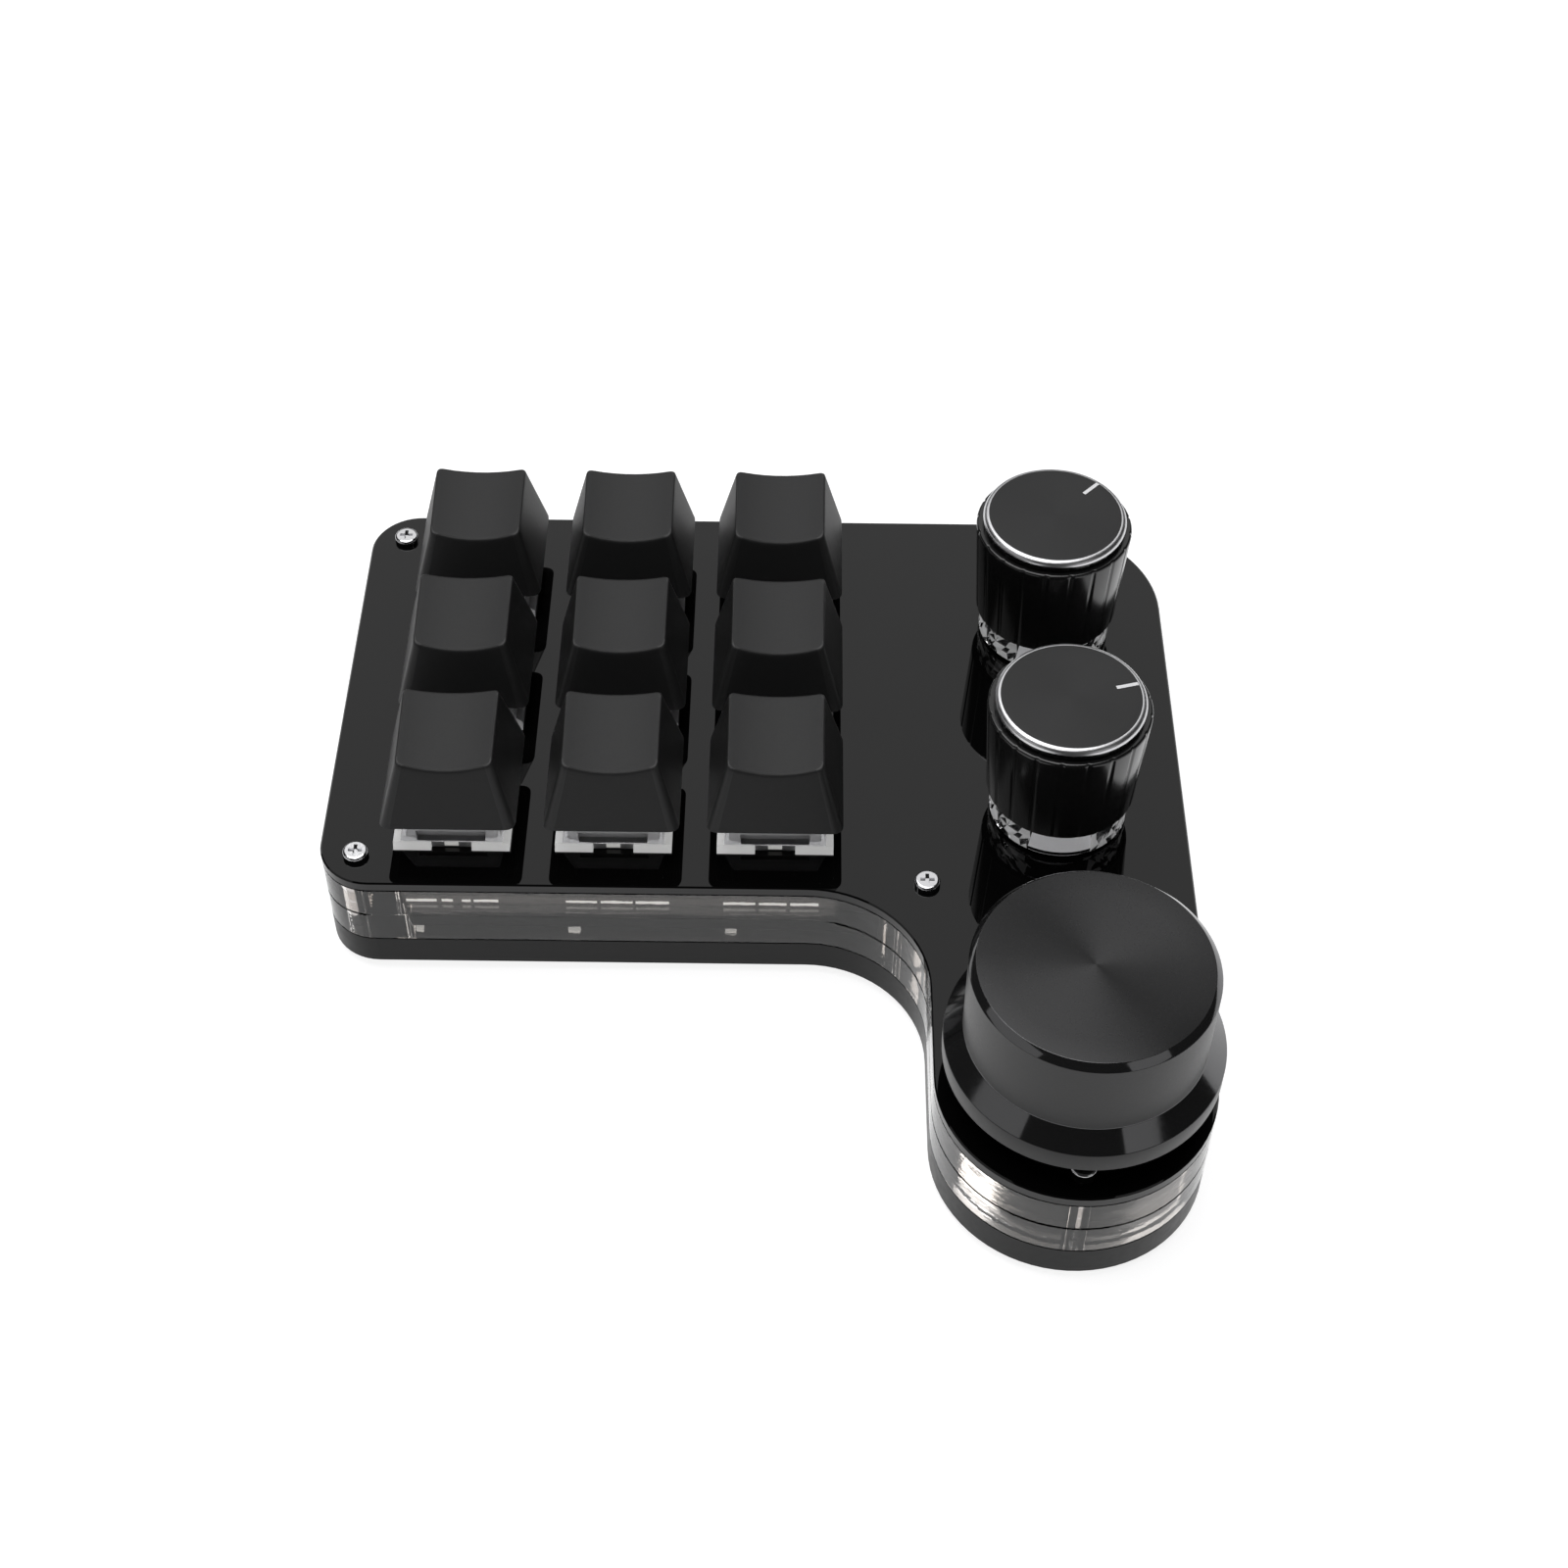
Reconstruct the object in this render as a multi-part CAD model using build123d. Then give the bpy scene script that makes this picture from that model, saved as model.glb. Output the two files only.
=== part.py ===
from build123d import *
from math import degrees, pi, sin, sqrt
import os

os.makedirs("parts", exist_ok=True)

# Desk macro keypad: nine blank keys, two small knobs and one large knob on a sandwich case.
# Millimetres, +Z up. The origin is the centre of the footprint, on the desk.
# The keys stand on the left, the knobs in a column on the right, and the lobe reaches to -Y.

# Case outline
case_width = 116.6
case_depth = 119.0
key_section_depth = 71.6
corner_radius = 7.0
knob_corner_radius = 17.7
lobe_radius = 17.7
lobe_fillet = 16.0
edge_break = 0.2

# Layers, from the desk up
foot_height = 1.5
foot_diameter = 8.0
base_thickness = 5.0
spacer_thickness = 5.0
plate_thickness = 1.6
board_thickness = 1.6

# Key grid, seen from above
key_rows = 3
key_columns = 3
key_pitch_x = 21.65
first_column_inset = 17.7
back_row_inset = 13.7
front_row_inset = 13.7

# Knob column, seen from above
knob_column_inset = 17.35
back_knob_inset = 22.0
middle_knob_pitch = 34.7
large_knob_inset = 18.3

# Pocket for the board inside the clear spacers
pocket_side_wall = 9.7
pocket_right_wall = 6.2
pocket_front_wall = 4.0
pocket_back_wall = 4.0
pocket_corner = 2.0
lobe_pocket_radius = 9.5
screw_boss_radius = 4.2
board_clearance = 0.2
board_ledge = 0.7

# Case screws and nuts
screw_diameter = 2.0
screw_head_diameter = 3.5
screw_head_height = 1.0
screw_head_round = 0.45
screw_inset = 5.0
lobe_screw_inset = 4.4
inner_screw_offset = 1.1
screw_hole_clearance = 0.1
screw_recess_width = 0.5
screw_recess_length = 1.9
screw_recess_depth = 0.5
screw_tip_gap = 0.6
nut_across_flats = 4.0
nut_thickness = 1.6
nut_recess_clearance = 0.1
nut_sink = 0.3

# Key switches
switch_cutout = 14.0
switch_body = 13.9
switch_below_plate = 5.0
switch_flange = 15.6
switch_flange_thickness = 1.0
switch_notch_width = 5.4
switch_notch_depth = 0.7
switch_floor = 0.8
switch_well_x = 12.3
switch_well_y = 11.8
switch_post_radius = 1.95
switch_post_length = 2.8
spring_peg_radius = 1.3
spring_peg_height = 2.8
housing_height = 6.6
housing_foot = 15.4
housing_top_x = 11.4
housing_top_y = 10.4
housing_wall = 1.0
housing_opening_x = 7.4
housing_opening_y = 6.2
light_slot_width = 9.6
light_slot_height = 1.4
light_slot_depth = 1.4
light_slot_rise = 2.0
key_travel = 4.0

# Sliding stem of a switch
stem_top_x = 7.0
stem_top_y = 5.6
stem_skirt_x = 8.8
stem_skirt_y = 7.6
stem_floor_gap = 0.6
stem_skirt_gap = 0.2
stem_shoulder = 6.5
stem_cross_top = 10.2
stem_cross_length = 4.0
stem_cross_width = 1.2
spring_outer_radius = 2.0
spring_wire = 0.35
spring_side_gap = 0.3
spring_top = 5.0

# Contact pins, sockets and board lights
pin_radius = 0.45
pin_hole_radius = 0.75
pin_length = 3.1
pin_a = (-3.81, 2.54)
pin_b = (2.54, 5.08)
post_hole_clearance = 0.1
socket_post_gap = 0.2
socket_length = 10.8
socket_width = 4.4
socket_height = 1.8
socket_centre = (-0.7, 3.8)
socket_tab_length = 1.0
socket_tab_width = 1.6
socket_tab_height = 1.0
light_length = 1.6
light_width = 1.0
light_height = 0.7
light_offset = (-6.1, -5.6)

# Controller and connector
chip_size = 7.0
chip_height = 0.9
chip_from_keys = 17.6
chip_from_back = 36.0
port_from_keys = 17.6
port_width = 8.94
port_height = 3.26
port_depth = 7.35
port_wall = 0.35
port_flat = 0.02
port_overhang = 0.4
port_tongue_width = 6.6
port_tongue_height = 0.7
port_tongue_depth = 5.2
plug_notch_width = 13.0
plug_notch_rise = 3.3

# Keycaps
cap_base = 18.1
cap_lift = 5.6
cap_loft_height = 11.0
cap_top_back_width = 12.5
cap_top_front_width = 11.5
cap_top_back_y = 6.84
cap_top_front_y = -4.71
cap_base_corner = 1.6
cap_top_corner = 1.2
cap_wall = 1.1
cap_hollow_height = 6.8
cap_dish_radius = 21.0
cap_dish_height = 8.78
cap_dish_tilt = 6.0
cap_post_radius = 2.75
cap_post_rise = 1.3
cap_cross_clearance = 0.05
cap_cross_end_gap = 0.1

# Rotary encoders
encoder_body = 11.8
encoder_cutout = 12.4
encoder_proud = 1.5
encoder_wall = 0.6
encoder_roof = 1.7
encoder_chamber_radius = 5.2
bushing_radius = 3.5
bushing_height = 5.0
shaft_radius = 3.0
shaft_clearance = 0.05
shaft_flat_depth = 1.5
shaft_flat_length = 8.0
shaft_flat_runout = 0.5
shaft_key_width = 4.6
shaft_foot_gap = 0.8
shaft_shoulder_radius = 3.7
shaft_shoulder_height = 0.75
shaft_shoulder_gap = 0.05
rotor_radius = 4.8
rotor_height = 1.4
rotor_drop = 1.7
rotor_notches = 20
rotor_notch_radius = 0.3
rotor_boss_radius = 3.9
rotor_floor_gap = 0.05
push_travel = 0.5

# Small knobs, heights above the top plate
small_knob_top = 21.93
small_knob_bottom = 5.0
small_knob_grip_top = 19.9
small_knob_top_radius = 9.18
small_knob_rim_radius = 9.84
small_knob_rim_drop = 0.45
small_knob_neck_radius = 9.95
small_knob_grip_radius = 10.8
small_knob_foot_radius = 10.0
small_knob_ledge = 0.35
small_knob_bore = 9.2
small_knob_roof = 1.9
small_knob_flutes = 20
flute_radius = 0.35
flute_depth = 0.3
pointer_length = 3.0
pointer_width = 0.55
pointer_depth = 0.25
pointer_gap = 0.1
back_pointer_angle = 46.0
middle_pointer_angle = 15.0
collar_plate_gap = 0.3
collar_radius = 9.6
collar_wall = 0.75
collar_spigot = 1.8
collar_facets = 16
core_clearance = 0.05
core_bottom = 7.6
core_shaft_depth = 8.8

# Large knob, heights above the top plate
large_knob_top = 22.35
large_knob_bottom = 4.8
large_knob_top_radius = 14.17
large_knob_radius = 15.0
large_knob_chamfer = 0.9
large_knob_wall_bottom = 10.15
large_knob_flange_radius = 17.3
large_knob_flange_top = 7.8
large_knob_recess_radius = 12.5
large_knob_recess_top = 7.6
set_screw_radius = 1.5
set_screw_clearance = 0.05
set_screw_length = 5.0
set_screw_height = 13.6
set_screw_socket = 0.75
set_screw_socket_depth = 1.6
set_screw_tip_gap = 0.1
set_screw_hole_start = 1.5

# Heights and places that follow from the sizes above
base_bottom = foot_height
base_top = base_bottom + base_thickness
lower_spacer_top = base_top + spacer_thickness
upper_spacer_top = lower_spacer_top + spacer_thickness
plate_top = upper_spacer_top + plate_thickness
board_top = plate_top - switch_below_plate
board_bottom = board_top - board_thickness
cap_bottom = plate_top + cap_lift
encoder_top = plate_top + encoder_proud
encoder_roof_bottom = encoder_top - encoder_roof
small_shaft_top = plate_top + core_bottom + core_shaft_depth
large_shaft_top = plate_top + large_knob_recess_top + core_shaft_depth
set_screw_tip = shaft_radius - shaft_flat_depth + set_screw_tip_gap

case_left = -case_width / 2
case_right = case_width / 2
case_back = case_depth / 2
case_front = -case_depth / 2
key_front = case_back - key_section_depth
lobe_x = case_right - lobe_radius
lobe_y = case_front + lobe_radius
lobe_left = lobe_x - lobe_radius

knob_x = case_right - knob_column_inset
back_knob_y = case_back - back_knob_inset
middle_knob_y = back_knob_y - middle_knob_pitch
large_knob_y = case_front + large_knob_inset

key_pitch_y = (key_section_depth - back_row_inset - front_row_inset) / (key_rows - 1)
last_column_x = case_left + first_column_inset + (key_columns - 1) * key_pitch_x
row_names = ["back", "middle", "front"]
column_names = ["left", "centre", "right"]
keys = {
    f"{row_names[r]}_{column_names[c]}": (
        case_left + first_column_inset + c * key_pitch_x,
        case_back - back_row_inset - r * key_pitch_y,
    )
    for r in range(key_rows)
    for c in range(key_columns)
}
knobs = {
    "back_knob": (knob_x, back_knob_y),
    "middle_knob": (knob_x, middle_knob_y),
    "large_knob": (knob_x, large_knob_y),
}

corner_reach = (knob_corner_radius - screw_inset) / sqrt(2)
screw_points = [
    (case_left + screw_inset, case_back - screw_inset),
    (case_left + screw_inset, key_front + screw_inset),
    (case_right - knob_corner_radius + corner_reach, case_back - knob_corner_radius + corner_reach),
    (lobe_left, key_front + inner_screw_offset),
    (lobe_x, case_front + lobe_screw_inset),
]
foot_points = [
    (keys["back_left"][0], keys["back_left"][1]),
    (keys["front_left"][0], keys["front_left"][1]),
    (knob_x, back_knob_y),
    (knob_x, large_knob_y),
]
chip_point = (last_column_x + chip_from_keys, case_back - chip_from_back)
port_x = last_column_x + port_from_keys
port_centre_z = board_bottom - port_height / 2


# Small helpers

def block(size_x, size_y, z_low, z_high, x=0.0, y=0.0):
    """A box between two heights, centred on a point of the plan."""
    return Pos(x, y, (z_low + z_high) / 2) * Box(size_x, size_y, z_high - z_low)


def rod(radius, z_low, z_high, x=0.0, y=0.0):
    """An upright cylinder between two heights."""
    return Pos(x, y, (z_low + z_high) / 2) * Cylinder(radius, z_high - z_low)


def raised(face, z_low, z_high):
    """A flat face drawn on the plan, made solid between two heights."""
    return Pos(0, 0, z_low) * extrude(face, z_high - z_low)


def turned(points):
    """A solid turned about Z from a list of (radius, height) points."""
    return revolve(make_face(Plane.XZ * Polyline(*points, close=True)), Axis.Z)


def each_at(shape, points):
    """The same solid copied to several points, as separate solids."""
    return [Pos(x, y, 0) * shape for x, y in points]


def write(name, shape):
    """One STEP file for each named piece; a list becomes a group of separate solids."""
    if isinstance(shape, list):
        shape = Compound(children=[s for item in shape for s in item.solids()])
    export_step(shape, f"parts/{name}.step")


# Case

def case_face():
    """The outline that all four case layers share."""
    r, rk, rf = corner_radius, knob_corner_radius, lobe_fillet
    s = sin(pi / 4)
    with BuildSketch() as sketch:
        with BuildLine():
            Line((case_left + r, case_back), (case_right - rk, case_back))
            ThreePointArc(
                (case_right - rk, case_back),
                (case_right - rk + rk * s, case_back - rk + rk * s),
                (case_right, case_back - rk),
            )
            Line((case_right, case_back - rk), (case_right, lobe_y))
            ThreePointArc((case_right, lobe_y), (lobe_x, case_front), (lobe_left, lobe_y))
            Line((lobe_left, lobe_y), (lobe_left, key_front - rf))
            ThreePointArc(
                (lobe_left, key_front - rf),
                (lobe_left - rf + rf * s, key_front - rf + rf * s),
                (lobe_left - rf, key_front),
            )
            Line((lobe_left - rf, key_front), (case_left + r, key_front))
            ThreePointArc(
                (case_left + r, key_front),
                (case_left + r - r * s, key_front + r - r * s),
                (case_left, key_front + r),
            )
            Line((case_left, key_front + r), (case_left, case_back - r))
            ThreePointArc(
                (case_left, case_back - r),
                (case_left + r - r * s, case_back - r + r * s),
                (case_left + r, case_back),
            )
        make_face()
    return sketch.sketch


def pocket_face(grow=0.0):
    """The pocket for the board, grown outwards by a distance (inwards if negative)."""
    left = case_left + pocket_side_wall - grow
    right = case_right - pocket_right_wall + grow
    back = case_back - pocket_back_wall + grow
    front = key_front + pocket_front_wall - grow
    radius = lobe_pocket_radius + grow
    room = Pos((left + right) / 2, (front + back) / 2) * RectangleRounded(
        right - left, back - front, pocket_corner
    )
    reach = (front + back) / 2
    room += Pos(knob_x, (reach + large_knob_y) / 2) * Rectangle(2 * radius, reach - large_knob_y)
    room += Pos(knob_x, large_knob_y) * Circle(radius)
    for x, y in screw_points:
        room -= Pos(x, y) * Circle(screw_boss_radius - grow)
    return room


def screw_holes(z_low, z_high):
    """Clearance holes for the case screws."""
    radius = screw_diameter / 2 + screw_hole_clearance
    return [rod(radius, z_low - 1, z_high + 1, x, y) for x, y in screw_points]


def layer(z_low, z_high):
    """One case layer with its broken edges and screw holes."""
    body = raised(case_face(), z_low, z_high)
    flats = body.faces().filter_by(Axis.Z)
    body = chamfer(flats.edges(), edge_break)
    for hole in screw_holes(z_low, z_high):
        body -= hole
    return body


def plug_notch():
    """Room for a plug's grip through the back wall of the clear spacers."""
    depth = pocket_back_wall + board_ledge
    high = port_centre_z + plug_notch_rise
    return block(plug_notch_width, 2 * depth, base_top - 1, high, port_x, case_back)


def top_plate():
    """The glossy plate that holds the switches and lets the encoders through."""
    plate = layer(upper_spacer_top, plate_top)
    for x, y in keys.values():
        plate -= block(switch_cutout, switch_cutout, upper_spacer_top - 1, plate_top + 1, x, y)
    for x, y in knobs.values():
        plate -= block(encoder_cutout, encoder_cutout, upper_spacer_top - 1, plate_top + 1, x, y)
    return plate


def upper_spacer():
    """The clear frame round the board."""
    frame = layer(lower_spacer_top, upper_spacer_top)
    frame -= raised(pocket_face(), lower_spacer_top - 1, upper_spacer_top + 1)
    return frame - plug_notch()


def lower_spacer():
    """The clear frame whose ledge carries the board."""
    frame = layer(base_top, lower_spacer_top)
    frame -= raised(pocket_face(-board_ledge), base_top - 1, lower_spacer_top + 1)
    return frame - plug_notch()


def base_plate():
    """The solid bottom layer with a hexagon recess for each nut."""
    base = layer(base_bottom, base_top)
    radius = (nut_across_flats + 2 * nut_recess_clearance) / sqrt(3)
    recess_top = base_bottom + nut_sink + nut_thickness
    for x, y in screw_points:
        base -= raised(Pos(x, y) * RegularPolygon(radius, 6), base_bottom - 1, recess_top)
    return base


def case_screws():
    """Pan-head screws with a cross recess, from the plate down through every layer."""
    tip = base_bottom + screw_tip_gap
    head_top = plate_top + screw_head_height
    head = rod(screw_head_diameter / 2, plate_top, head_top)
    head = fillet(head.edges().group_by(Axis.Z)[-1], screw_head_round)
    arm = block(
        screw_recess_length, screw_recess_width, head_top - screw_recess_depth, head_top + 1
    )
    screw = head + rod(screw_diameter / 2, tip, plate_top)
    screw = screw - arm - Rot(0, 0, 90) * arm
    return each_at(screw, screw_points)


def case_nuts():
    """Hexagon nuts under the base, one on each screw."""
    low = base_bottom + nut_sink
    high = low + nut_thickness
    nut = raised(RegularPolygon(nut_across_flats / sqrt(3), 6), low, high)
    nut -= rod(screw_diameter / 2 + core_clearance, low - 1, high + 1)
    return each_at(nut, screw_points)


def rubber_feet():
    """Round feet stuck under the base."""
    foot = rod(foot_diameter / 2, 0, foot_height)
    foot = chamfer(foot.edges().group_by(Axis.Z)[0], edge_break)
    return each_at(foot, foot_points)


# Board and what is on it

def circuit_board():
    """The board on the ledge, with holes for the switch posts and pins."""
    board = raised(pocket_face(-board_clearance), board_bottom, board_top)
    low = board_bottom - 1
    high = board_top + 1
    for x, y in keys.values():
        board -= rod(switch_post_radius + post_hole_clearance, low, high, x, y)
        for pin in (pin_a, pin_b):
            board -= rod(pin_hole_radius, low, high, x + pin[0], y + pin[1])
    return board


def hot_swap_sockets():
    """Sockets under the board that grip the switch pins, with a solder tab at each end."""
    x, y = socket_centre
    low = board_bottom - socket_height
    body = block(socket_length, socket_width, low, board_bottom, x, y)
    reach = socket_length + 2 * socket_tab_length
    tabs = block(reach, socket_tab_width, board_bottom - socket_tab_height, board_bottom, x, y)
    socket = body + tabs
    for pin in (pin_a, pin_b):
        socket -= rod(pin_hole_radius, low - 1, board_bottom + 1, *pin)
    socket -= rod(switch_post_radius + socket_post_gap, low - 1, board_bottom + 1)
    return each_at(socket, keys.values())


def board_lights():
    """Small lights under the board, one beside each key."""
    x, y = light_offset
    light = block(light_length, light_width, board_bottom - light_height, board_bottom, x, y)
    return each_at(light, keys.values())


def controller_chip():
    """The controller under the board, between the keys and the knobs."""
    x, y = chip_point
    chip = block(chip_size, chip_size, board_bottom - chip_height, board_bottom, x, y)
    return chamfer(chip.edges().group_by(Axis.Z)[0], edge_break)


def usb_port():
    """A flat socket under the board's back edge, with its tongue."""
    mouth = case_back - pocket_back_wall + port_overhang
    corner = (port_height - port_flat) / 2
    wall = 2 * port_wall
    shell = RectangleRounded(port_width, port_height, corner)
    hollow = RectangleRounded(port_width - wall, port_height - wall, corner - port_wall)
    front = Plane(origin=(port_x, mouth, port_centre_z), x_dir=(1, 0, 0), z_dir=(0, -1, 0))
    port = extrude(front * shell, port_depth)
    port -= extrude(front * hollow, port_depth - port_wall)
    tongue_y = mouth - port_depth + port_wall + port_tongue_depth / 2
    tongue = Pos(port_x, tongue_y, port_centre_z) * Box(
        port_tongue_width, port_tongue_depth, port_tongue_height
    )
    return port + tongue


# Key switches

def switch_lower_housings():
    """The lower switch bodies: well, flange with two notches, spring peg and locating post."""
    floor = board_top + switch_floor
    flange_top = plate_top + switch_flange_thickness
    body = block(switch_body, switch_body, board_top, plate_top)
    body += block(switch_flange, switch_flange, plate_top, flange_top)
    body -= block(switch_well_x, switch_well_y, floor, flange_top + 1)
    for side in (-1, 1):
        y = side * (switch_flange / 2 - switch_notch_depth / 2)
        body -= block(switch_notch_width, switch_notch_depth, plate_top, flange_top, 0, y)
    body += rod(spring_peg_radius, floor, floor + spring_peg_height)
    body += rod(switch_post_radius, board_top - switch_post_length, board_top)
    return each_at(body, keys.values())


def frustum(foot_x, foot_y, top_x, top_y, z_low, z_high):
    """A block whose sides lean in towards its top."""
    foot = Pos(0, 0, z_low) * Rectangle(foot_x, foot_y)
    top = Pos(0, 0, z_high) * Rectangle(top_x, top_y)
    return loft([foot, top])


def switch_upper_housings():
    """The clear upper switch bodies, with the slot that lets light out in front."""
    low = plate_top + switch_flange_thickness
    high = plate_top + housing_height
    outer = frustum(housing_foot, housing_foot, housing_top_x, housing_top_y, low, high)
    wall = 2 * housing_wall
    inner = frustum(
        housing_foot - wall, housing_foot - wall, housing_top_x - wall, housing_top_y - wall,
        low, high,
    )
    inner -= block(housing_foot, housing_foot, high - housing_wall, high + 1)
    slot_low = plate_top + light_slot_rise
    slot_high = slot_low + light_slot_height
    slot = block(light_slot_width, 2 * light_slot_depth, slot_low, slot_high, 0, -housing_foot / 2)
    housing = outer - inner - slot
    housing -= block(housing_opening_x, housing_opening_y, low, high + 1)
    return each_at(housing, keys.values())


def switch_pins():
    """Two contact pins under each switch, through the board into its socket."""
    low = board_top - pin_length
    pins = []
    for x, y in keys.values():
        for pin in (pin_a, pin_b):
            pins.append(rod(pin_radius, low, board_top, x + pin[0], y + pin[1]))
    return pins


def switch_stem():
    """The slider with its cross, bored from below for the spring."""
    shoulder = plate_top + stem_shoulder
    skirt_top = plate_top + housing_height - housing_wall - stem_skirt_gap
    skirt_bottom = board_top + switch_floor + stem_floor_gap + key_travel
    cross_top = plate_top + stem_cross_top
    stem = block(stem_skirt_x, stem_skirt_y, skirt_bottom, skirt_top)
    stem += block(stem_top_x, stem_top_y, skirt_top, shoulder)
    stem += block(stem_cross_length, stem_cross_width, shoulder, cross_top)
    stem += block(stem_cross_width, stem_cross_length, shoulder, cross_top)
    bore = spring_outer_radius + spring_side_gap
    return stem - rod(bore, skirt_bottom - 1, plate_top + spring_top)


def switch_spring():
    """The space that a switch's coil spring turns in, from the floor of the well to the stem."""
    low = board_top + switch_floor
    high = plate_top + spring_top
    tube = rod(spring_outer_radius, low, high)
    return tube - rod(spring_outer_radius - spring_wire, low - 1, high + 1)


# Keycaps

def cap_section(back_width, front_width, back_y, front_y, corner, z):
    """A four-sided section of a keycap, wider at the back, with rounded corners."""
    points = [
        (-back_width / 2, back_y),
        (back_width / 2, back_y),
        (front_width / 2, front_y),
        (-front_width / 2, front_y),
    ]
    face = make_face(Polyline(*points, close=True))
    face = fillet(face.vertices(), corner)
    return Pos(0, 0, z) * face


def cap_body(shrink, z_low, z_high):
    """The keycap's leaning sides between two heights, drawn in by a wall if asked."""

    def section(z, corner):
        share = (z - cap_bottom) / cap_loft_height
        back_width = cap_base + (cap_top_back_width - cap_base) * share
        front_width = cap_base + (cap_top_front_width - cap_base) * share
        back_y = cap_base / 2 + (cap_top_back_y - cap_base / 2) * share
        front_y = -cap_base / 2 + (cap_top_front_y + cap_base / 2) * share
        return cap_section(
            back_width - 2 * shrink, front_width - 2 * shrink,
            back_y - shrink, front_y + shrink, corner, z,
        )

    return loft([section(z_low, cap_base_corner), section(z_high, cap_top_corner)])


def keycap():
    """A blank keycap with a dished top, hollow inside, with the post that takes the stem."""
    low = cap_bottom
    dish_z = low + cap_dish_height + cap_dish_radius
    dish = Pos(0, 0, dish_z) * Rot(90 + cap_dish_tilt, 0, 0)
    dish = dish * Cylinder(cap_dish_radius, 4 * cap_base)
    cap = cap_body(0, low, low + cap_loft_height) - dish
    cap -= cap_body(cap_wall, low, low + cap_hollow_height)
    post_bottom = low + cap_post_rise
    cross_top = plate_top + stem_cross_top + cap_cross_end_gap
    post = rod(cap_post_radius, post_bottom, low + cap_hollow_height)
    length = stem_cross_length + 2 * cap_cross_clearance
    width = stem_cross_width + 2 * cap_cross_clearance
    post -= block(length, width, post_bottom - 1, cross_top)
    post -= block(width, length, post_bottom - 1, cross_top)
    return cap + post


# Encoders

def encoder_housings():
    """Encoder bodies on the board, each with a round chamber and a hole for its shaft."""
    body = block(encoder_body, encoder_body, board_top, encoder_top)
    body = chamfer(body.edges().group_by(Axis.Z)[-1], edge_break)
    body -= rod(encoder_chamber_radius, board_top + encoder_wall, encoder_roof_bottom)
    body -= rod(shaft_radius + shaft_clearance, encoder_roof_bottom - 1, encoder_top + 1)
    return each_at(body, knobs.values())


def encoder_bushings():
    """The round necks that guide the shafts."""
    top = encoder_top + bushing_height
    neck = rod(bushing_radius, encoder_top, top)
    neck = chamfer(neck.edges().group_by(Axis.Z)[-1], edge_break)
    neck -= rod(shaft_radius + shaft_clearance, encoder_top - 1, top + 1)
    return each_at(neck, knobs.values())


def encoder_rotor(x, y):
    """The notched wheel on an encoder's floor, turned by the flats of the shaft."""
    high = encoder_roof_bottom - rotor_drop
    low = high - rotor_height
    foot = board_top + encoder_wall + rotor_floor_gap
    wheel = rod(rotor_radius, low, high)
    for n in range(rotor_notches):
        notch = rod(rotor_notch_radius, low - 1, high + 1, rotor_radius, 0)
        wheel -= Rot(0, 0, 360 * n / rotor_notches) * notch
    wheel += rod(rotor_boss_radius, foot, low)
    width = shaft_key_width + 2 * shaft_clearance
    key = rod(shaft_radius + shaft_clearance, foot - 1, high + 1)
    key = key & block(width, 4 * shaft_radius, foot - 1, high + 1)
    return Pos(x, y, 0) * (wheel - key)


def encoder_shaft(x, y, top):
    """A shaft with flats at its foot, a shoulder under the roof and one flat at its top."""
    foot = board_top + encoder_wall + shaft_foot_gap
    shoulder_top = encoder_roof_bottom - shaft_shoulder_gap
    shoulder_bottom = shoulder_top - shaft_shoulder_height
    shaft = rod(shaft_radius, foot, shoulder_bottom)
    shaft = shaft & block(shaft_key_width, 4 * shaft_radius, foot, shoulder_bottom)
    shaft += rod(shaft_shoulder_radius, shoulder_bottom, shoulder_top)
    shaft += rod(shaft_radius, shoulder_top, top)
    flat_low = top - shaft_flat_length
    cut_y = 2 * shaft_radius - shaft_flat_depth
    cut = block(4 * shaft_radius, 2 * shaft_radius, flat_low, top + 1, 0, cut_y)
    return Pos(x, y, 0) * (shaft - cut)


def shaft_bore(top):
    """The one-flat hole that fits the top of a shaft, open downwards."""
    radius = shaft_radius + shaft_clearance
    flat_low = top - shaft_flat_length + shaft_flat_runout
    cut_y = 2 * radius - shaft_flat_depth
    bore = rod(radius, plate_top, top + shaft_clearance)
    return bore - block(4 * radius, 2 * radius, flat_low, top + 1, 0, cut_y)


# Small knobs

def small_knob_shell(x, y, pointer_angle):
    """A turned and fluted shell: bright rim, dark neck, grip, and a groove for the pointer."""
    bottom = plate_top + small_knob_bottom
    grip = plate_top + small_knob_grip_top
    top = plate_top + small_knob_top
    shell = turned([
        (0, bottom),
        (small_knob_foot_radius, bottom),
        (small_knob_grip_radius, grip),
        (small_knob_grip_radius - small_knob_ledge, grip + small_knob_ledge),
        (small_knob_neck_radius, grip + small_knob_ledge),
        (small_knob_neck_radius, top - small_knob_rim_drop),
        (small_knob_rim_radius, top - small_knob_rim_drop),
        (small_knob_top_radius, top),
        (0, top),
    ])
    lean = (small_knob_grip_radius - small_knob_foot_radius) / (grip - bottom)
    flute_x = small_knob_grip_radius + flute_radius - flute_depth
    flute = rod(flute_radius, bottom - 1, grip, flute_x, 0)
    flute = flute.rotate(Axis((flute_x, 0, grip), (0, 1, 0)), degrees(lean))
    for n in range(small_knob_flutes):
        shell -= Rot(0, 0, 360 * (n + 0.5) / small_knob_flutes) * flute
    shell -= rod(small_knob_bore, plate_top, top - small_knob_roof)
    groove_centre = small_knob_top_radius - pointer_gap - pointer_length / 2
    groove = block(pointer_length, pointer_width, top - pointer_depth, top + 1, groove_centre, 0)
    return Pos(x, y, 0) * (shell - Rot(0, 0, pointer_angle) * groove)


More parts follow.
